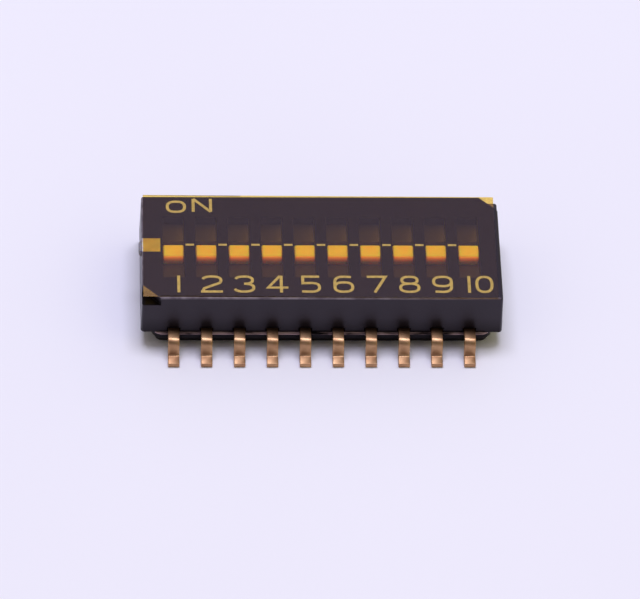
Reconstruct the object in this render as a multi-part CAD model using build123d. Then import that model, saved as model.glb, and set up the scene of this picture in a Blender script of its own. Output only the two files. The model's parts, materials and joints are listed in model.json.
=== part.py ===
from build123d import *

import os
from math import radians, tan

# Ten-position half-pitch slide DIP switch for surface mounting, with a sealing film on top.
# Millimetres. +X runs along the row of positions, +Y points from the OFF side to the ON side, +Z is up.
# The origin is the centre of the footprint, on the plane of the circuit board.

# Row of positions
positions = 10
pitch = 1.27

# Cover, measured at the plane where it meets the base
end_margin = 1.27
cover_width = 5.50
cover_height = 1.85
cover_draft = 1.5
cover_corner_radius = 0.14
cover_edge_radius = 0.05
long_wall = 0.48
end_wall = 0.40
notch_leg = 0.72

# Pockets that the knobs slide in
pocket_length = 3.15
pocket_depth = 0.37
web_thickness = 0.25

# Base
board_gap = 0.12
base_thickness = 0.53
flange_thickness = 0.25
flange_ledge = 0.10
cover_overhang = 0.40
base_corner_radius = 0.45
foot_inset = 0.14
tray_wall = 0.40
tray_fit = 0.03
tray_headroom = 0.04
snap_height = 0.09
snap_length = 2.40
snap_clearance = 0.02
gauge_window_width = 0.30
gauge_window_length = 0.50
gauge_window_y = 1.40

# Sliders
knob_width = 0.78
knob_length = 0.61
knob_bevel = 0.035
knob_gap_to_film = 0.03
knob_side_clearance = 0.02
knob_off_y = -0.14
travel = 0.40
stop_clearance = 0.09
plate_lip = 0.08
plate_length = 1.90
plate_thickness = 0.40
plate_end_bevel = 0.12
plate_side_clearance = 0.045
plate_headroom = 0.04
stake_size = 0.26
stake_length = 0.14

# Moving contacts, one under each slider
contact_width = 0.60
contact_thickness = 0.08
contact_flat_length = 0.84
contact_tip_y = 0.80
contact_toe_y = 1.03
contact_toe_lift = 0.12
contact_tip_flat = 0.10
contact_gap = 0.02
contact_slit_width = 0.12
contact_slit_start_y = 0.30
stake_hole_clearance = 0.02

# Terminals
terminal_thickness = 0.20
terminal_width = 0.44
terminal_span = 8.00
terminal_bend_radius = 0.09
foot_length = 0.53
leg_lean = 0.09
pad_width = 0.60
front_pad_end_y = -0.35
back_pad_end_y = 0.85
window_clearance = 0.03

# Light index tab let into the left end of the cover
tab_length = 0.72
tab_width = 0.70
tab_y = 0.12
tab_depth = 0.37
nub_reach = 0.12
nub_width = 0.54
nub_drop = 0.06

# Sealing film, laid a little askew
film_end_margin = 0.11
film_side_margin = 0.04
film_thickness = 0.06
film_x = -0.06
film_y = 0.02
film_turn = -0.35

# Heights, from the board up
parting_z = board_gap + base_thickness
pad_top_z = parting_z + terminal_thickness
cover_top_z = parting_z + cover_height
pocket_floor_z = cover_top_z - pocket_depth
ceiling_z = pocket_floor_z - web_thickness
knob_top_z = cover_top_z - knob_gap_to_film
plate_top_z = ceiling_z - plate_headroom
plate_bottom_z = plate_top_z - plate_thickness
tray_top_z = ceiling_z - tray_headroom

# Lengths along the row
position_x = [(i - (positions - 1) / 2) * pitch for i in range(positions)]
cover_length = (positions - 1) * pitch + 2 * end_margin
slot_width = knob_width + 2 * knob_side_clearance
plate_width = slot_width + 2 * plate_lip
cell_width = plate_width + 2 * plate_side_clearance

# The cover's draft narrows it towards the top
draft_loss = cover_height * tan(radians(cover_draft))
top_half_length = cover_length / 2 - draft_loss
top_half_width = cover_width / 2 - draft_loss

# Lengths across the row
cavity_length = cover_length - 2 * end_wall
cavity_width = cover_width - 2 * long_wall
tray_length = cavity_length - 2 * tray_fit
tray_width = cavity_width - 2 * tray_fit
cell_length = tray_width - 2 * tray_wall
slot_front_y = knob_off_y - knob_length / 2 - stop_clearance
slot_back_y = knob_off_y + travel + knob_length / 2 + stop_clearance


def block(x_size, y_size, low_z, high_z, x=0, y=0):
    """Upright block centred on x, y between two heights."""
    return Pos(x, y, (low_z + high_z) / 2) * Box(x_size, y_size, high_z - low_z)


def upright(outline, low_z, high_z, taper=0):
    """Flat outline raised from one height to another, with draft if the mould gives it some."""
    return extrude(Pos(0, 0, low_z) * outline, high_z - low_z, taper=taper)


def along_row(points, width):
    """Closed outline of (y, z) points, extruded along the row to a width."""
    outline = Polyline([(0, y, z) for y, z in points], close=True)
    return extrude(make_face(outline), width / 2, both=True)


def bent_strip(points, bend_radius, thickness, width):
    """Strip of sheet metal whose centre line, seen from the side, turns at the inner (y, z) points.

    The bend radius is that of the inner side, and a radius of 0 leaves both sides sharp.
    """
    centre = [Vector(0, y, z) for y, z in points]
    runs = [(b - a).normalized() for a, b in zip(centre, centre[1:])]
    normals = [Vector(0, -run.Z, run.Y) for run in runs]
    turns = [a.Y * b.Z - a.Z * b.Y for a, b in zip(runs, runs[1:])]
    mitres = [(a + b) * (1 / (1 + a.dot(b))) for a, b in zip(normals, normals[1:])]
    offsets = [normals[0], *mitres, normals[-1]]
    edges = ShapeList()
    sides = []
    for side in (1, -1):
        corners = [p + n * (side * thickness / 2) for p, n in zip(centre, offsets)]
        outer_radius = bend_radius + thickness if bend_radius else 0
        radii = [bend_radius if side * turn > 0 else outer_radius for turn in turns]
        sides.append(FilletPolyline(*corners, radius=radii))
        edges += sides[-1].edges()
    edges += [Line(sides[0] @ end, sides[1] @ end) for end in (0, 1)]
    return extrude(make_face(edges), width / 2, both=True)


def make_terminal(x, side, pad_end_y):
    """Gull-wing terminal: a contact pad in the cell, a shoulder through the wall, a leg and a foot."""
    shoulder_z = parting_z + terminal_thickness / 2
    toe_y = terminal_span / 2
    heel_y = toe_y - foot_length
    path = [
        (pad_end_y, shoulder_z),
        (side * (heel_y - leg_lean), shoulder_z),
        (side * heel_y, terminal_thickness / 2),
        (side * toe_y, terminal_thickness / 2),
    ]
    strip = bent_strip(path, terminal_bend_radius, terminal_thickness, terminal_width)
    pad_outer_y = side * cell_length / 2
    pad_size = abs(pad_outer_y - pad_end_y)
    pad_middle_y = (pad_outer_y + pad_end_y) / 2
    pad = block(pad_width, pad_size, parting_z, pad_top_z, y=pad_middle_y)
    return Pos(x, 0, 0) * (strip + pad)


def make_contact(x):
    """Spring contact under a slider: a flat bridge with a split finger at each end for the pads."""
    bridge_z = plate_bottom_z - contact_thickness / 2
    tip_z = pad_top_z + contact_gap + contact_thickness / 2
    half = [
        (contact_flat_length / 2, bridge_z),
        (contact_tip_y - contact_tip_flat / 2, tip_z),
        (contact_tip_y + contact_tip_flat / 2, tip_z),
        (contact_toe_y, tip_z + contact_toe_lift),
    ]
    path = [(-y, z) for y, z in reversed(half)] + half
    spring = bent_strip(path, 0, contact_thickness, contact_width)
    slit_length = contact_toe_y + contact_thickness - contact_slit_start_y
    for side in (-1, 1):
        slit_y = side * (contact_slit_start_y + slit_length / 2)
        spring -= block(contact_slit_width, slit_length, pad_top_z, plate_bottom_z, y=slit_y)
    hole_size = stake_size + 2 * stake_hole_clearance
    spring -= block(hole_size, hole_size, bridge_z - contact_thickness, plate_bottom_z)
    return Pos(x, knob_off_y, 0) * spring


def make_slider(x):
    """Moulded slider: the knob in the pocket, a plate under the cover and a stake for its contact."""
    knob = block(knob_width, knob_length, plate_top_z, knob_top_z)
    knob = chamfer(knob.edges().filter_by(Axis.Z), knob_bevel)
    knob = chamfer(knob.faces().sort_by(Axis.Z)[-1].edges(), knob_bevel)
    end_y = plate_length / 2
    bevel_y = end_y - plate_end_bevel
    bevel_z = plate_top_z - plate_end_bevel
    half = [(bevel_y, plate_top_z), (end_y, bevel_z), (end_y, plate_bottom_z)]
    plate = along_row([(-y, z) for y, z in reversed(half)] + half, plate_width)
    stake = block(stake_size, stake_size, plate_bottom_z - stake_length, plate_bottom_z)
    return Pos(x, knob_off_y, 0) * (knob + plate + stake)


def end_snaps(height):
    """Ridges along both end walls of the tray, or the grooves that take them."""
    middle_z = (pad_top_z + tray_top_z) / 2
    section = Rot(90, 0, 0) * RegularPolygon(height, 4)
    ridge = extrude(section, snap_length / 2, both=True)
    return [Pos(side * tray_length / 2, 0, middle_z) * ridge for side in (-1, 1)]


def make_base(terminals):
    """Insert-moulded base: a foot and a flange under the cover, and a tray of cells over the terminals."""
    flange_length = cover_length - 2 * cover_overhang
    flange_width = cover_width + 2 * flange_ledge
    flange_low_z = parting_z - flange_thickness
    flange_outline = RectangleRounded(flange_length, flange_width, base_corner_radius)
    foot_outline = RectangleRounded(
        flange_length - 2 * foot_inset,
        flange_width - 2 * foot_inset,
        base_corner_radius - foot_inset,
    )
    base = upright(foot_outline, board_gap, flange_low_z)
    base += upright(flange_outline, flange_low_z, parting_z)
    base += block(tray_length, tray_width, parting_z, tray_top_z)
    base += end_snaps(snap_height)
    for x in position_x:
        base -= block(cell_width, cell_length, pad_top_z, tray_top_z, x=x)
        for side in (-1, 1):
            window_y = side * gauge_window_y
            base -= block(gauge_window_width, gauge_window_length, board_gap, parting_z, x, window_y)
    return base - terminals


def make_tab():
    """Light index tab: a block flush with the cover's top and a nub that stands out of its end."""
    low_z = cover_top_z - tab_depth
    block_x = tab_length / 2 - top_half_length
    tab = block(tab_length, tab_width, low_z, cover_top_z, x=block_x, y=tab_y)
    nub_x = -top_half_length - nub_reach / 2
    nub = block(nub_reach, nub_width, low_z, cover_top_z - nub_drop, x=nub_x, y=tab_y)
    nub = chamfer(nub.edges().group_by(Axis.X)[0], nub_drop)
    return tab + nub


def corner_notch():
    """Diagonal cut across the back right corner of the top, as deep as a pocket."""
    cut = upright(RegularPolygon(notch_leg, 4), pocket_floor_z, cover_top_z)
    return Pos(top_half_length, top_half_width, 0) * cut


def make_cover(tab):
    """Cover moulding: a drafted shell with a pocket and a slot for each knob and windows for the leads."""
    outline = RectangleRounded(cover_length, cover_width, cover_corner_radius)
    cover = upright(outline, parting_z, cover_top_z, taper=cover_draft)
    cover = fillet(cover.faces().sort_by(Axis.Z)[-1].edges(), cover_edge_radius)
    cover -= block(cavity_length, cavity_width, parting_z, ceiling_z)
    window_width = terminal_width + 2 * window_clearance
    window_top_z = pad_top_z + window_clearance
    slot_length = slot_back_y - slot_front_y
    slot_y = (slot_back_y + slot_front_y) / 2
    for x in position_x:
        cover -= block(slot_width, pocket_length, pocket_floor_z, cover_top_z, x=x)
        cover -= block(slot_width, slot_length, ceiling_z, pocket_floor_z, x=x, y=slot_y)
        cover -= block(window_width, cover_width, parting_z, window_top_z, x=x)
    cover -= corner_notch()
    cover -= Rot(0, 0, 180) * corner_notch()
    cover -= end_snaps(snap_height + snap_clearance)
    return cover - tab


def make_film():
    """Sealing film on top of the cover."""
    film_length = 2 * (top_half_length - film_end_margin)
    film_width = 2 * (top_half_width - film_side_margin)
    film = block(film_length, film_width, cover_top_z, cover_top_z + film_thickness)
    return Pos(film_x, film_y, 0) * Rot(0, 0, film_turn) * film


def make_parts():
    """Every piece of the switch by name, in the OFF position."""
    parts = {}
    for number, x in enumerate(position_x, start=1):
        parts[f"terminal_front_{number:02d}"] = make_terminal(x, -1, front_pad_end_y)
        parts[f"terminal_back_{number:02d}"] = make_terminal(x, 1, back_pad_end_y)
    parts["base"] = make_base(list(parts.values()))
    for number, x in enumerate(position_x, start=1):
        parts[f"slider_{number:02d}"] = make_slider(x)
        parts[f"contact_{number:02d}"] = make_contact(x)
    parts["index_tab"] = make_tab()
    parts["cover"] = make_cover(parts["index_tab"])
    parts["seal_film"] = make_film()
    return parts


os.makedirs("parts", exist_ok=True)
for name, part in make_parts().items():
    export_step(part, f"parts/{name}.step")
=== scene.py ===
"""Looks of the ten-position slide DIP switch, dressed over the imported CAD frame.

Lengths are written in millimetres and turned into Blender's metres by MM.
"""

import json
from math import cos, radians, sin

import bmesh
import bpy
from mathutils import Matrix, Vector


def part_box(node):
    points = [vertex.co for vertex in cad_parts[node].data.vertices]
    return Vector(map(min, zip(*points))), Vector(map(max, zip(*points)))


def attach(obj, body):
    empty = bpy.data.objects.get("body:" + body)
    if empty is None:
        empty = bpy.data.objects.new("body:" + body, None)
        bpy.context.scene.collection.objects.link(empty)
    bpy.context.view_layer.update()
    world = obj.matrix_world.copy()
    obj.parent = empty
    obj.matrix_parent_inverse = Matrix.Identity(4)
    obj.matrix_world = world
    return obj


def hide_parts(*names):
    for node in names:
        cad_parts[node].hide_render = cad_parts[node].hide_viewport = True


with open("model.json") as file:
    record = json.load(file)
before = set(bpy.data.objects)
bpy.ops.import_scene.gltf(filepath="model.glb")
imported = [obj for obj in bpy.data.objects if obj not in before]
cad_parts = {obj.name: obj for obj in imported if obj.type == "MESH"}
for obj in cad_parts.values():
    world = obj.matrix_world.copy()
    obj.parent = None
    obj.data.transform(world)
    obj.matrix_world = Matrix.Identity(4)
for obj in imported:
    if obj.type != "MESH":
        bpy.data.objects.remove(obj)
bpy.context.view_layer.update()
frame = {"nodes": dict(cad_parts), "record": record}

MM = 0.001
nodes = frame["nodes"]
bodies = frame["record"]["behaviour"]["bodies"]

# The part's own layout, which the print and the marks follow
POSITIONS = 10
PITCH = 1.27
COVER_TOP = 2.50
POCKET_FLOOR = 2.13
NOTCH_DIAGONAL = 8.917
LEDGE_TOP = 0.65
LEDGE_START_Y = 2.75

# Joining of the CAD's faces, and the widths of the soft edges
MERGE_DISTANCE = 1e-8
FLAT_ANGLE = radians(1.0)
SHARP_ANGLE = radians(40.0)
MOULDED_EDGE = 0.015
KNOB_EDGE = 0.02
LEAD_EDGE = 0.025
SPRING_EDGE = 0.01

# Picking of faces: how level a top is, how level a wall may be, and the slack in a place
LEVEL = 0.99
WALL = 0.5
SLACK = 0.01

# A mottle's colours meet in the middle of its noise
MOTTLE_LOW = 0.3
MOTTLE_HIGH = 0.7

# Black plastic, with a gloss that leans to violet and fades towards the foot of the walls, a painted shade
# on the reflection near the shaded floor
BLACKS = ((0.004, 0.003, 0.004), (0.007, 0.005, 0.006))
PLASTIC_INDEX = 1.5
PLASTIC_GLOSS = (0.95, 0.80, 1.0, 1.0)
FADE_HEIGHT = 0.8
FOOT_SHARE = 0.45
GRAIN_DEPTH = 0.002

# Flash on the base's ledge, painted light pink as a highlight where the ledge catches the light from above
LIT_FLASH_PINK = (0.50, 0.35, 0.38, 1.0)
FLASH_STOPS = [(0.40, (0, 0, 0)), (0.52, (1, 1, 1))]
FLASH_DEPTH = 0.04
FLASH_INSET = 0.02

# The band along the cover's top edges: rubbed lighter by wear and lighter still as a painted edge
# highlight; it turns browner to the right, a painted highlight seen through the amber film
EDGE_BAND = 0.06
EDGE_INSET = 0.16
WORN_AND_HIGHLIGHT_STOPS = [(0.40, (0.080, 0.064, 0.080)), (0.60, (0.185, 0.158, 0.185))]
HIGHLIGHT_UNDER_FILM_BROWN = (0.055, 0.035, 0.033, 1.0)
BROWN_START_X = 1.5
BROWN_FULL_X = 6.0
BROWN_SHARE = 0.75

# Pale plastics: the index tab, its nub, which is the tab's plastic in a darker grey as painted shade, and
# the knobs
TAB_GREYS = ((0.46, 0.43, 0.44), (0.62, 0.59, 0.60))
NUB_SHADE_GREYS = ((0.20, 0.18, 0.21), (0.27, 0.25, 0.28))
KNOB_IVORIES = ((0.96, 0.74, 0.40), (1.0, 0.80, 0.48))
ROUGHNESS_SPREAD = 0.05

# Painted glow on the knobs' upright faces: emission standing in for light that the knobs carry, from the
# pocket's floor to the top
NO_PAINTED_GLOW = (0.0, 0.0, 0.0, 1.0)
PAINTED_GLOW_STOPS = [(0.0, (0.0, 0.0, 0.0)), (0.35, (0.13, 0.02, 0.0)), (0.9, (0.52, 0.14, 0.0))]
UPRIGHT = 0.7

# Gold plating, darkened by painted shade where the leads leave the housing
GOLD_STOPS = [(0.25, (0.38, 0.20, 0.105)), (0.55, (0.49, 0.29, 0.155)), (0.8, (0.56, 0.35, 0.195))]
ROOT_SHADE_BROWN = (0.10, 0.05, 0.03, 1.0)
ROOT_Y = 2.82
ROOT_END_Y = 3.12
ROOT_SHADE = 0.85
DRAWN_DEPTH = 0.003

# Film and print: the print lies between the film's two faces
FILM_LIFT = 0.004
INK_LIFT = 0.012
INK_LAYER = 0.0003
FILM_PASS = (1.0, 0.868, 0.38, 1.0)
FILM_INDEX = 1.65
FILM_GLOSS = (0.65, 0.57, 0.72, 1.0)
HAZES = ((0.62, 0.44, 0.36), (0.80, 0.58, 0.48))
HAZE_SHARE = 0.012
NOTCH_HAZE_SHARE = 0.30
ADHESIVE_GLOSS = 0.1

# Grime on the film's overhang along the back
RIM_GREY = (0.13, 0.11, 0.125, 1.0)
RIM_Y = 2.70
RIM_START_X = -7.5
RIM_FULL_X = -1.0
RIM_LEAST = 0.15
RIM_MOST = 0.95

# Lettering
INK_STOPS = [(0.3, (0.40, 0.36, 0.37)), (0.6, (0.60, 0.535, 0.55))]
INK_STROKE = 0.115
MITRE_LEAST = 0.5
ARC_STEPS = 12
ROUNDNESS = 2.5
DIGIT_HEIGHT = 0.90
DIGIT_MIDDLE_Y = -1.95
DIGIT_SHIFT_X = 0.18
TEN_MIDDLES_X = {"1": 5.65, "0": 6.24}
DASH_LENGTH = 0.33
DASH_WIDTH = 0.10
DASH_Y = 0.12

# Floor
FLOOR_COLOURS = ((0.855, 0.84, 0.92), (0.875, 0.86, 0.935))
FLOOR_HALF = 1500.0

# Surroundings: the light from the left to the right end of the row, and the dim patch behind the camera
SKY = (0.64, 0.61, 0.83)
SKY_STOPS = [(0.28, (0.42, 0.385, 0.33)), (0.40, SKY), (0.60, SKY), (0.72, (0.67, 0.635, 0.40))]
SKY_FRONT = (0.03, 0.03, 0.03, 1.0)
DIM_START = radians(44.0)
DIM_FULL = radians(10.0)

# Camera, as the photograph was taken
CAMERA_ELEVATION = radians(47.0)
CAMERA_AZIMUTH = radians(3.8)
CAMERA_ROLL = radians(-2.88)
CAMERA_DISTANCE = 244.0
CAMERA_LENS = 353.4
NEAREST_SEEN = 10.0
TARGET_HEIGHT = 1.25
AIM_DROP = 1.17


def collection_link(piece):
    """Put a new object into the scene."""
    bpy.context.scene.collection.objects.link(piece)
    return piece


def shader_tree(name):
    """New material and its empty node tree."""
    material = bpy.data.materials.new(name)
    material.use_nodes = True
    material.node_tree.nodes.clear()
    return material, material.node_tree


def surfaced(material, shader):
    """The material with a shader node as its surface."""
    tree = material.node_tree
    output = tree.nodes.new("ShaderNodeOutputMaterial")
    tree.links.new(shader.outputs[0], output.inputs[0])
    return material


def node(tree, kind, inputs=None, **settings):
    """Shader node with its settings and inputs: a socket is linked, anything else is a constant."""
    made = tree.nodes.new("ShaderNode" + kind)
    for key, value in settings.items():
        setattr(made, key, value)
    for key, value in (inputs or {}).items():
        if isinstance(value, bpy.types.NodeSocket):
            tree.links.new(value, made.inputs[key])
        else:
            made.inputs[key].default_value = value
    return made


def math_node(tree, operation, *values):
    """Output of one math node."""
    return node(tree, "Math", dict(enumerate(values)), operation=operation).outputs[0]


def axis(tree, letter):
    """Place along one of the part's own axes, in metres."""
    place = node(tree, "TexCoord").outputs["Object"]
    return node(tree, "SeparateXYZ", {0: place}).outputs[letter]


def noise(tree, scale, detail=3.0, stretch=(1, 1, 1)):
    """Noise in the part's own coordinates, with scale in features per metre."""
    place = node(tree, "TexCoord").outputs["Object"]
    spread = node(tree, "Mapping", {"Vector": place, "Scale": stretch}).outputs[0]
    return node(tree, "TexNoise", {"Vector": spread, "Scale": scale, "Detail": detail}).outputs[0]


def ramp(tree, factor, stops):
    """Colour ramp from (position, colour) stops."""
    made = node(tree, "ValToRGB", {0: factor})
    elements = made.color_ramp.elements
    while len(elements) < len(stops):
        elements.new(0.5)
    for element, (position, colour) in zip(elements, stops):
        element.position = position
        element.color = (*colour, 1.0)
    return made.outputs[0]


def mottled(tree, factor, colours):
    """Colour that a noise varies between a dark and a light one."""
    dark, light = colours
    return ramp(tree, factor, [(MOTTLE_LOW, dark), (MOTTLE_HIGH, light)])


def blended(tree, factor, first, second):
    """Colour that goes from the first to the second as a factor goes from 0 to 1."""
    inputs = {"Factor": factor, "A": first, "B": second}
    return node(tree, "Mix", inputs, data_type="RGBA").outputs["Result"]


def between(tree, value, low=0.0, high=1.0, start=0.0, end=1.0, **settings):
    """Number that goes from low to high as a value goes from start to end."""
    inputs = {"Value": value, "From Min": start, "From Max": end, "To Min": low, "To Max": high}
    return node(tree, "MapRange", inputs, **settings).outputs[0]


def bump(tree, height, strength, depth):
    """Normal from a height, with its depth in millimetres."""
    inputs = {"Height": height, "Strength": strength, "Distance": depth * MM}
    return node(tree, "Bump", inputs).outputs[0]


def black_plastic(name, roughness=(0.28, 0.36), gloss=0.42, lit_flash=False, worn=False):
    """Moulded black plastic with fine grain and uneven gloss.

    The base has flash on its ledge, painted light as a highlight where it catches the light, and the edge
    band is rubbed lighter in specks, partly wear and partly a painted edge highlight.
    """
    material, tree = shader_tree(name)
    mottle = noise(tree, scale=900.0, detail=4.0)
    grain = noise(tree, scale=14000.0)
    height = axis(tree, "Z")
    colour = mottled(tree, mottle, BLACKS)
    if worn:
        # Wear specks that are also a painted edge highlight; the brown towards the right is that painted
        # highlight seen through the film
        rubs_and_highlight = ramp(tree, noise(tree, scale=2600.0, detail=5.0), WORN_AND_HIGHLIGHT_STOPS)
        film_browning_of_highlight = between(
            tree,
            axis(tree, "X"),
            high=BROWN_SHARE,
            start=BROWN_START_X * MM,
            end=BROWN_FULL_X * MM,
        )
        colour = blended(tree, film_browning_of_highlight, rubs_and_highlight, HIGHLIGHT_UNDER_FILM_BROWN)
    if lit_flash:
        # Painted highlight: the flash on the ledge is light pink where it catches the light
        high = math_node(tree, "GREATER_THAN", height, (LEDGE_TOP - FLASH_DEPTH) * MM)
        depth = math_node(tree, "ABSOLUTE", axis(tree, "Y"))
        outside = math_node(tree, "GREATER_THAN", depth, (LEDGE_START_Y - FLASH_INSET) * MM)
        on_ledge = math_node(tree, "MULTIPLY", high, outside)
        streaks = noise(tree, scale=500.0, detail=5.0, stretch=(1, 3, 3))
        patches = ramp(tree, streaks, FLASH_STOPS)
        colour = blended(tree, math_node(tree, "MULTIPLY", on_ledge, patches), colour, LIT_FLASH_PINK)
    smoothest, roughest = roughness
    # Painted shade: less gloss towards the foot of the walls
    shaded_foot_gloss = between(
        tree,
        height,
        low=gloss * FOOT_SHARE,
        high=gloss,
        start=LEDGE_TOP * MM,
        end=(LEDGE_TOP + FADE_HEIGHT) * MM,
    )
    shader = node(
        tree,
        "BsdfPrincipled",
        {
            "Base Color": colour,
            "Roughness": between(tree, mottle, smoothest, roughest),
            "IOR": PLASTIC_INDEX,
            "Specular IOR Level": shaded_foot_gloss,
            "Specular Tint": PLASTIC_GLOSS,
            "Normal": bump(tree, grain, strength=0.12, depth=GRAIN_DEPTH),
        },
    )
    return surfaced(material, shader)


def pale_plastic(name, colours, roughness, depth, has_painted_glow=False):
    """Light moulded plastic with a mottle and fine grain, that light enters to a depth in millimetres.

    The knobs have a painted glow: orange emission on their upright front and back faces, standing in for
    the light they carry from above.
    """
    material, tree = shader_tree(name)
    mottle = noise(tree, scale=2500.0, detail=4.0)
    grain = noise(tree, scale=16000.0, detail=2.0)
    painted_glow = NO_PAINTED_GLOW
    # Painted glow: emission on the upright faces, growing towards the top
    if has_painted_glow:
        level = between(tree, axis(tree, "Z"), start=POCKET_FLOOR * MM, end=COVER_TOP * MM)
        facing = node(tree, "SeparateXYZ", {0: node(tree, "NewGeometry").outputs["Normal"]})
        turned = math_node(tree, "ABSOLUTE", facing.outputs["Y"])
        upright = math_node(tree, "GREATER_THAN", turned, UPRIGHT)
        painted_glow = blended(tree, upright, NO_PAINTED_GLOW, ramp(tree, level, PAINTED_GLOW_STOPS))
    smoothest = roughness - ROUGHNESS_SPREAD
    roughest = roughness + ROUGHNESS_SPREAD
    shader = node(
        tree,
        "BsdfPrincipled",
        {
            "Base Color": mottled(tree, mottle, colours),
            "Roughness": between(tree, grain, smoothest, roughest),
            "IOR": PLASTIC_INDEX,
            "Subsurface Weight": 1.0,
            "Subsurface Radius": (1.0, 0.5, 0.18),
            "Subsurface Scale": depth * MM,
            "Emission Color": painted_glow,
            "Emission Strength": 1.0,
            "Normal": bump(tree, grain, strength=0.15, depth=GRAIN_DEPTH),
        },
    )
    return surfaced(material, shader)


def gold_plate(name):
    """Satin gold plating over stamped strip, with drawn lines along it and browner tarnish in patches."""
    material, tree = shader_tree(name)
    tarnish = noise(tree, scale=2600.0, detail=4.0)
    drawn = noise(tree, scale=9000.0, stretch=(3, 0.4, 0.4))
    depth = math_node(tree, "ABSOLUTE", axis(tree, "Y"))
    # Painted shade: the plating turns brown where the leads leave the housing
    root_shade = between(tree, depth, low=ROOT_SHADE, high=0.0, start=ROOT_Y * MM, end=ROOT_END_Y * MM)
    shader = node(
        tree,
        "BsdfPrincipled",
        {
            "Base Color": blended(tree, root_shade, ramp(tree, tarnish, GOLD_STOPS), ROOT_SHADE_BROWN),
            "Metallic": 1.0,
            "Roughness": between(tree, drawn, low=0.38, high=0.50),
            "Normal": bump(tree, drawn, strength=0.3, depth=DRAWN_DEPTH),
        },
    )
    return surfaced(material, shader)


def ink(name):
    """White pad-printed ink, slightly uneven in cover."""
    material, tree = shader_tree(name)
    colour = ramp(tree, noise(tree, scale=9000.0, detail=4.0), INK_STOPS)
    inputs = {"Base Color": colour, "Roughness": 0.6, "IOR": PLASTIC_INDEX}
    return surfaced(material, node(tree, "BsdfPrincipled", inputs))


def over_notches(tree):
    """1 over the two diagonal corner notches and 0 elsewhere."""
    diagonal = math_node(tree, "ADD", axis(tree, "X"), axis(tree, "Y"))
    reach = math_node(tree, "ABSOLUTE", diagonal)
    return math_node(tree, "GREATER_THAN", reach, NOTCH_DIAGONAL * MM)


def back_rim(tree):
    """Grime on the film's overhang along the back: little at the left end, full from near the middle."""
    along = axis(tree, "X")
    across = axis(tree, "Y")
    growing = between(tree, along, RIM_LEAST, RIM_MOST, RIM_START_X * MM, RIM_FULL_X * MM)
    outside = math_node(tree, "GREATER_THAN", across, RIM_Y * MM)
    diagonal = math_node(tree, "ADD", along, across)
    beside_notch = math_node(tree, "LESS_THAN", diagonal, NOTCH_DIAGONAL * MM)
    on_rim = math_node(tree, "MULTIPLY", outside, beside_notch)
    return math_node(tree, "MULTIPLY", on_rim, growing)


def film_shader(name, underside=False):
    """One face of the amber film: tinted and clear, with a trace of haze and a gloss.

    The underside's adhesive dulls it, and is milky over the corner notches, where nothing presses on it.
    """
    material, tree = shader_tree(name)
    clear = node(tree, "BsdfTransparent", {"Color": FILM_PASS})
    dust = noise(tree, scale=3000.0, detail=4.0)
    colour = mottled(tree, dust, HAZES)
    if underside:
        share = math_node(tree, "MULTIPLY_ADD", over_notches(tree), NOTCH_HAZE_SHARE, HAZE_SHARE)
    else:
        grime = back_rim(tree)
        share = math_node(tree, "MAXIMUM", grime, HAZE_SHARE)
        colour = blended(tree, grime, colour, RIM_GREY)
    haze = node(tree, "BsdfDiffuse", {"Color": colour})
    body = node(tree, "MixShader", {0: share, 1: clear.outputs[0], 2: haze.outputs[0]})
    roughness = between(tree, dust, low=0.06, high=0.16)
    gloss = node(tree, "BsdfGlossy", {"Color": FILM_GLOSS, "Roughness": roughness})
    # The film is too thin to bend light, so the Fresnel share is the same from both of its sides
    from_behind = node(tree, "NewGeometry").outputs["Backfacing"]
    exponent = math_node(tree, "MULTIPLY_ADD", from_behind, -2.0, 1.0)
    index = math_node(tree, "POWER", FILM_INDEX, exponent)
    factor = node(tree, "Fresnel", {"IOR": index}).outputs[0]
    if underside:
        factor = math_node(tree, "MULTIPLY", factor, ADHESIVE_GLOSS)
    shader = node(tree, "MixShader", {0: factor, 1: body.outputs[0], 2: gloss.outputs[0]})
    return surfaced(material, shader)


def dressed(name, material, bevel_width=0.0, segments=2):
    """Copy of a CAD node's form, with its flats joined and, given a bevel, soft edges and curves."""
    mesh = nodes[name].data.copy()
    mesh.materials.clear()
    mesh.materials.append(material)
    form = bmesh.new()
    form.from_mesh(mesh)
    bmesh.ops.remove_doubles(form, verts=form.verts, dist=MERGE_DISTANCE)
    bmesh.ops.dissolve_limit(form, angle_limit=FLAT_ANGLE, verts=form.verts, edges=form.edges)
    for face in form.faces:
        face.smooth = bevel_width > 0
        face.material_index = 0
    form.to_mesh(mesh)
    form.free()
    piece = collection_link(bpy.data.objects.new(name + "_skin", mesh))
    if bevel_width:
        bevel = piece.modifiers.new("edges", "BEVEL")
        bevel.limit_method = "ANGLE"
        bevel.angle_limit = SHARP_ANGLE
        bevel.width = bevel_width * MM
        bevel.segments = segments
        bevel.use_clamp_overlap = False
        # Even widths, also beside the lines that divide a wall into faces
        bevel.loop_slide = False
        bevel.harden_normals = True
    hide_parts(name)
    body = next(b for b, members in bodies.items() if name in members)
    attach(piece, body)
    return piece


def paint(piece, material, chosen):
    """Give another material to the faces that a test picks."""
    piece.data.materials.append(material)
    for face in piece.data.polygons:
        if chosen(face):
            face.material_index = len(piece.data.materials) - 1


def make_film():
    """The film, lifted just clear of the cover, with its own material on the face that is stuck down."""
    low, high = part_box("seal_film")
    piece = dressed("seal_film", film_shader("amber_film"))
    middle = (low.z + high.z) / 2
    for vertex in piece.data.vertices:
        if vertex.co.z < middle:
            vertex.co.z = (COVER_TOP + FILM_LIFT) * MM
    underside = film_shader("amber_film_underside", underside=True)
    paint(piece, underside, lambda face: face.normal.z < -WALL)
    return piece


def on_top(normal, centre):
    """Whether a face of the cover with this normal and centre is part of its flat top."""
    return normal.z > LEVEL and centre.z > (COVER_TOP - SLACK) * MM


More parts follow.
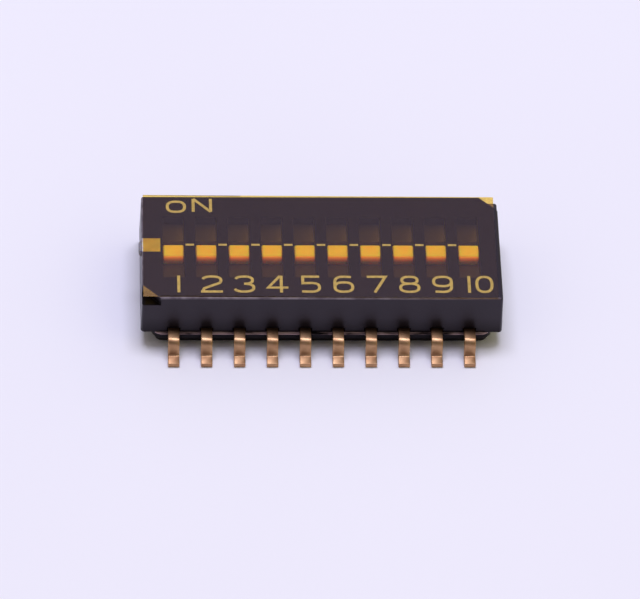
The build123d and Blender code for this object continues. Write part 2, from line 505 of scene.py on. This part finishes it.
def make_cover(film):
    """The cover, its top cut along the film's outline, because plastic under the adhesive has no gloss."""
    cover = dressed("cover", black_plastic("black_cover_plastic"), MOULDED_EDGE)
    outline = [(face.center, face.normal) for face in film.data.polygons if abs(face.normal.z) < WALL]
    form = bmesh.new()
    form.from_mesh(cover.data)
    for centre, normal in outline:
        top = [face for face in form.faces if on_top(face.normal, face.calc_center_median())]
        edges = {edge for face in top for edge in face.edges}
        corners = {corner for face in top for corner in face.verts}
        bmesh.ops.bisect_plane(
            form,
            geom=[*top, *edges, *corners],
            plane_co=centre,
            plane_no=normal,
        )
    form.normal_update()
    form.to_mesh(cover.data)
    form.free()
    half_length, half_width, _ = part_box("cover")[1]
    inset_most = EDGE_INSET * MM
    band_bottom = (COVER_TOP - EDGE_BAND) * MM

    def bonded(face):
        inside = all((face.center - centre).dot(normal) < 0 for centre, normal in outline)
        return on_top(face.normal, face.center) and inside

    def worn(face):
        inset = min(half_length - abs(face.center.x), half_width - abs(face.center.y))
        at_back = face.center.y > half_width - inset_most
        at_right = face.center.x > half_length - inset_most
        near_edge = face.center.z > band_bottom and inset < inset_most
        return near_edge and not (at_back or at_right or bonded(face))

    def notched(face):
        in_corner = -(face.center.x + face.center.y) > (NOTCH_DIAGONAL - SLACK) * MM
        return in_corner and (POCKET_FLOOR - SLACK) * MM < face.center.z < band_bottom

    paint(cover, black_plastic("black_bonded_plastic", gloss=0.0), bonded)
    # Painted edge highlight, with wear, along the front and left top edges
    paint(cover, black_plastic("black_worn_lit_edge", roughness=(0.35, 0.5), worn=True), worn)
    # Painted shade: the notch's walls and floor get almost no gloss, so they stay dark under the film
    paint(cover, black_plastic("black_notch_shade_plastic", gloss=0.02), notched)
    # Walls with a corner within one of their edges would shade unevenly without this
    cover.modifiers.new("flat_walls", "WEIGHTED_NORMAL").mode = "FACE_AREA"


def ribbon(form, points, width, z, closed=False):
    """Flat stroke of ink along points, mitred at its corners."""
    points = [Vector(p) for p in points]
    count = len(points)
    sides = []
    for i, point in enumerate(points):
        before = points[i - 1] if closed or i else point
        after = points[(i + 1) % count] if closed or i < count - 1 else point
        arriving = (point - before).normalized()
        leaving = (after - point).normalized()
        run = (arriving + leaving).normalized()
        steady = leaving if leaving.length else arriving
        normal = Vector((-run.y, run.x))
        across = Vector((-steady.y, steady.x))
        reach = width / 2 / max(normal.dot(across), MITRE_LEAST)
        pair = [point + normal * reach * side for side in (1, -1)]
        sides.append([form.verts.new((p.x * MM, p.y * MM, z * MM)) for p in pair])
    last = count if closed else count - 1
    for i in range(last):
        a, b = sides[i]
        c, d = sides[(i + 1) % count]
        form.faces.new((a, b, d, c))


def ink_piece(name, strokes, material, width=INK_STROKE):
    """Printed mark made of (points, closed) strokes on the cover's top."""
    form = bmesh.new()
    for layer, (points, closed) in enumerate(strokes):
        ribbon(form, points, width, COVER_TOP + INK_LIFT + layer * INK_LAYER, closed)
    bmesh.ops.recalc_face_normals(form, faces=form.faces)
    for face in form.faces:
        if face.normal.z < 0:
            face.normal_flip()
    mesh = bpy.data.meshes.new(name)
    form.to_mesh(mesh)
    form.free()
    mesh.materials.append(material)
    piece = collection_link(bpy.data.objects.new(name, mesh))
    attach(piece, "housing")
    return piece


def arc(middle_x, middle_y, radius_x, radius_y, start, end):
    """Points of a squarish arc between two angles in degrees."""
    points = []
    for i in range(ARC_STEPS + 1):
        angle = radians(start + (end - start) * i / ARC_STEPS)
        c, s = cos(angle), sin(angle)
        power = 2 / ROUNDNESS
        x = middle_x + radius_x * abs(c) ** power * (1 if c > 0 else -1)
        y = middle_y + radius_y * abs(s) ** power * (1 if s > 0 else -1)
        points.append((x, y))
    return points


def loop(middle_x, middle_y, radius_x, radius_y):
    """Closed squarish ring, drawn as two arcs end to end."""
    upper = arc(middle_x, middle_y, radius_x, radius_y, 0, 180)
    lower = arc(middle_x, middle_y, radius_x, radius_y, 180, 360)
    return (upper[:-1] + lower[:-1], True)


def half_turned(strokes):
    """Strokes of a glyph turned upside down within its unit box."""
    return [([(1 - x, 1 - y) for x, y in points], closed) for points, closed in strokes]


# Strokes of each glyph in a box one unit wide and high, as (points, closed)
SIX = [
    loop(0.5, 0.31, 0.5, 0.31),
    (arc(0.5, 0.62, 0.5, 0.38, 180, 90) + [(0.92, 0.98)], False),
    ([(0.0, 0.31), (0.0, 0.62)], False),
]
GLYPHS = {
    "O": [loop(0.5, 0.5, 0.5, 0.5)],
    "N": [
        ([(0, 0), (0, 1)], False),
        ([(0, 1), (1, 0)], False),
        ([(1, 0), (1, 1)], False),
    ],
    "0": [loop(0.5, 0.5, 0.5, 0.5)],
    "1": [([(0.5, -0.06), (0.5, 1.06)], False)],
    "2": [
        (arc(0.5, 0.74, 0.47, 0.26, 165, -35) + [(0.12, 0.22), (0.02, 0.0)], False),
        ([(-0.06, 0), (1.06, 0)], False),
    ],
    "3": [
        (arc(0.46, 0.76, 0.48, 0.24, 165, -90), False),
        (arc(0.46, 0.26, 0.54, 0.26, 90, -165), False),
    ],
    "4": [
        ([(0.62, 1.04), (0.0, 0.27), (1.04, 0.27)], False),
        ([(0.68, 1.06), (0.68, -0.06)], False),
    ],
    "5": [
        ([(1.0, 1), (0.04, 1), (0.04, 0.56), (0.55, 0.58)], False),
        (arc(0.5, 0.29, 0.5, 0.29, 90, -90) + [(-0.02, 0.02)], False),
    ],
    "6": SIX,
    "7": [([(-0.04, 1), (1.0, 1), (0.38, -0.05)], False)],
    "8": [loop(0.5, 0.77, 0.42, 0.23), loop(0.5, 0.27, 0.5, 0.27)],
    "9": half_turned(SIX),
}

# Widths of the digits as printed
WIDTHS = {
    "1": 0.15,
    "2": 0.87,
    "3": 0.80,
    "4": 0.86,
    "5": 0.78,
    "6": 0.80,
    "7": 0.80,
    "8": 0.82,
    "9": 0.80,
    "0": 0.70,
}

# The two letters as printed: glyph, middle x, middle y, width and height
LETTERS = {
    "print_on_o": ("O", -5.59, 2.14, 0.79, 0.66),
    "print_on_n": ("N", -4.58, 2.22, 0.79, 0.80),
}


def placed(glyph, middle_x, middle_y, width, height):
    """Strokes of a glyph whose inked outline fills a box at a place on the top."""
    inner_width = max(width - INK_STROKE, 0.0)
    inner_height = height - INK_STROKE
    left = middle_x - inner_width / 2
    bottom = middle_y - inner_height / 2
    return [
        ([(left + x * inner_width, bottom + y * inner_height) for x, y in points], closed)
        for points, closed in GLYPHS[glyph]
    ]


def placed_digit(digit, middle_x):
    """Strokes of a digit in the row of numbers."""
    return placed(digit, middle_x, DIGIT_MIDDLE_Y, WIDTHS[digit], DIGIT_HEIGHT)


def make_print(material):
    """ON, the numbers 1 to 10 and the dashes between the knobs."""
    for name, letter in LETTERS.items():
        ink_piece(name, placed(*letter), material)
    for number in range(1, POSITIONS):
        x = (number - (POSITIONS + 1) / 2) * PITCH + DIGIT_SHIFT_X
        ink_piece(f"print_number_{number:02d}", placed_digit(str(number), x), material)
    ten = []
    for digit, x in TEN_MIDDLES_X.items():
        ten += placed_digit(digit, x)
    ink_piece("print_number_10", ten, material)
    for rib in range(1, POSITIONS):
        x = (rib - POSITIONS / 2) * PITCH
        dash = [([(x - DASH_LENGTH / 2, DASH_Y), (x + DASH_LENGTH / 2, DASH_Y)], False)]
        ink_piece(f"print_dash_{rib:02d}", dash, material, width=DASH_WIDTH)


def make_floor():
    """Plain pale surface under the part."""
    material, tree = shader_tree("pale_floor")
    colour = mottled(tree, noise(tree, scale=30.0, detail=2.0), FLOOR_COLOURS)
    inputs = {"Base Color": colour, "Roughness": 0.9, "Specular IOR Level": 0.0}
    surfaced(material, node(tree, "BsdfPrincipled", inputs))
    form = bmesh.new()
    bmesh.ops.create_grid(form, x_segments=2, y_segments=2, size=FLOOR_HALF * MM)
    mesh = bpy.data.meshes.new("floor")
    form.to_mesh(mesh)
    form.free()
    mesh.materials.append(material)
    collection_link(bpy.data.objects.new("floor", mesh))


def make_surroundings():
    """Pale light from all around, warmer towards the ends of the row and dim behind the camera."""
    world = bpy.data.worlds.new("surroundings")
    world.use_nodes = True
    tree = world.node_tree
    direction = node(tree, "TexCoord").outputs["Generated"]
    front = (0.0, -cos(CAMERA_ELEVATION), sin(CAMERA_ELEVATION))
    facing = node(tree, "VectorMath", {0: direction, 1: front}, operation="DOT_PRODUCT")
    dimming = between(
        tree,
        facing.outputs["Value"],
        start=cos(DIM_START),
        end=cos(DIM_FULL),
        interpolation_type="SMOOTHSTEP",
    )
    sideways = node(tree, "SeparateXYZ", {0: direction}).outputs["X"]
    around = ramp(tree, between(tree, sideways, start=-1.0), SKY_STOPS)
    background = tree.nodes["Background"]
    tree.links.new(blended(tree, dimming, around, SKY_FRONT), background.inputs["Color"])
    background.inputs["Strength"].default_value = 1.0
    bpy.context.scene.world = world


def soft_light(name, azimuth, elevation, distance, width, depth, power, colour):
    """Oblong soft light that faces the part from a direction in degrees."""
    data = bpy.data.lights.new(name, "AREA")
    data.shape = "RECTANGLE"
    data.size = width * MM
    data.size_y = depth * MM
    data.energy = power
    data.color = colour
    light = collection_link(bpy.data.objects.new(name, data))
    a, e = radians(azimuth), radians(elevation)
    towards = Vector((sin(a) * cos(e), cos(a) * cos(e), sin(e)))
    light.location = towards * distance * MM
    light.rotation_mode = "QUATERNION"
    light.rotation_quaternion = towards.to_track_quat("Z", "Y")
    light.visible_camera = False


def make_lights():
    """The pale surroundings and a broad light overhead."""
    make_surroundings()
    soft_light(
        "light_above",
        azimuth=0.0,
        elevation=78.0,
        distance=420.0,
        width=240.0,
        depth=115.0,
        power=1.23,
        colour=(0.81, 0.825, 1.0),
    )
    bpy.context.scene.view_settings.view_transform = "Standard"


def make_camera():
    """Camera on the photograph's viewing line, turned down a little to frame the part as it is there."""
    data = bpy.data.cameras.new("camera")
    data.lens = CAMERA_LENS
    data.clip_start = NEAREST_SEEN * MM
    camera = collection_link(bpy.data.objects.new("camera", data))
    e, a, roll = CAMERA_ELEVATION, CAMERA_AZIMUTH, CAMERA_ROLL
    right = Vector((cos(a), -sin(a), 0))
    up = Vector((sin(e) * sin(a), sin(e) * cos(a), cos(e)))
    back = right.cross(up)
    turned_right = cos(roll) * right - sin(roll) * up
    turned_up = sin(roll) * right + cos(roll) * up
    target = Vector((0, 0, TARGET_HEIGHT))
    place = target + back * CAMERA_DISTANCE
    back = (place - (target - turned_up * AIM_DROP)).normalized()
    turned_up = back.cross(turned_right)
    basis = Matrix((turned_right, turned_up, back)).transposed().to_4x4()
    camera.matrix_world = Matrix.Translation(place * MM) @ basis
    bpy.context.scene.camera = camera


def make_part():
    """Every visible piece of the switch, over its CAD node."""
    film = make_film()
    make_cover(film)
    base_black = black_plastic("black_base_plastic", gloss=0.3, lit_flash=True)
    dressed("base", base_black, MOULDED_EDGE)
    light_grey = pale_plastic("light_grey_plastic", TAB_GREYS, roughness=0.45, depth=0.02)
    tab = dressed("index_tab", light_grey, MOULDED_EDGE)
    nub_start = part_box("seal_film")[0].x
    # Painted shade: the nub outside the film is the tab's plastic in a darker grey
    nub_shade_grey = pale_plastic("nub_shaded_grey_plastic", NUB_SHADE_GREYS, roughness=0.5, depth=0.02)
    paint(tab, nub_shade_grey, lambda face: face.center.x < nub_start)
    ivory = pale_plastic(
        "ivory_knob_plastic",
        KNOB_IVORIES,
        roughness=0.35,
        depth=0.3,
        has_painted_glow=True,
    )
    gold = gold_plate("gold_lead_plating")
    spring_gold = gold_plate("gold_spring_plating")
    for number in range(1, POSITIONS + 1):
        dressed(f"slider_{number:02d}", ivory, KNOB_EDGE)
        dressed(f"contact_{number:02d}", spring_gold, SPRING_EDGE, segments=1)
        dressed(f"terminal_front_{number:02d}", gold, LEAD_EDGE, segments=3)
        dressed(f"terminal_back_{number:02d}", gold, LEAD_EDGE, segments=3)
    make_print(ink("white_ink"))


make_part()
make_floor()
make_lights()
make_camera()
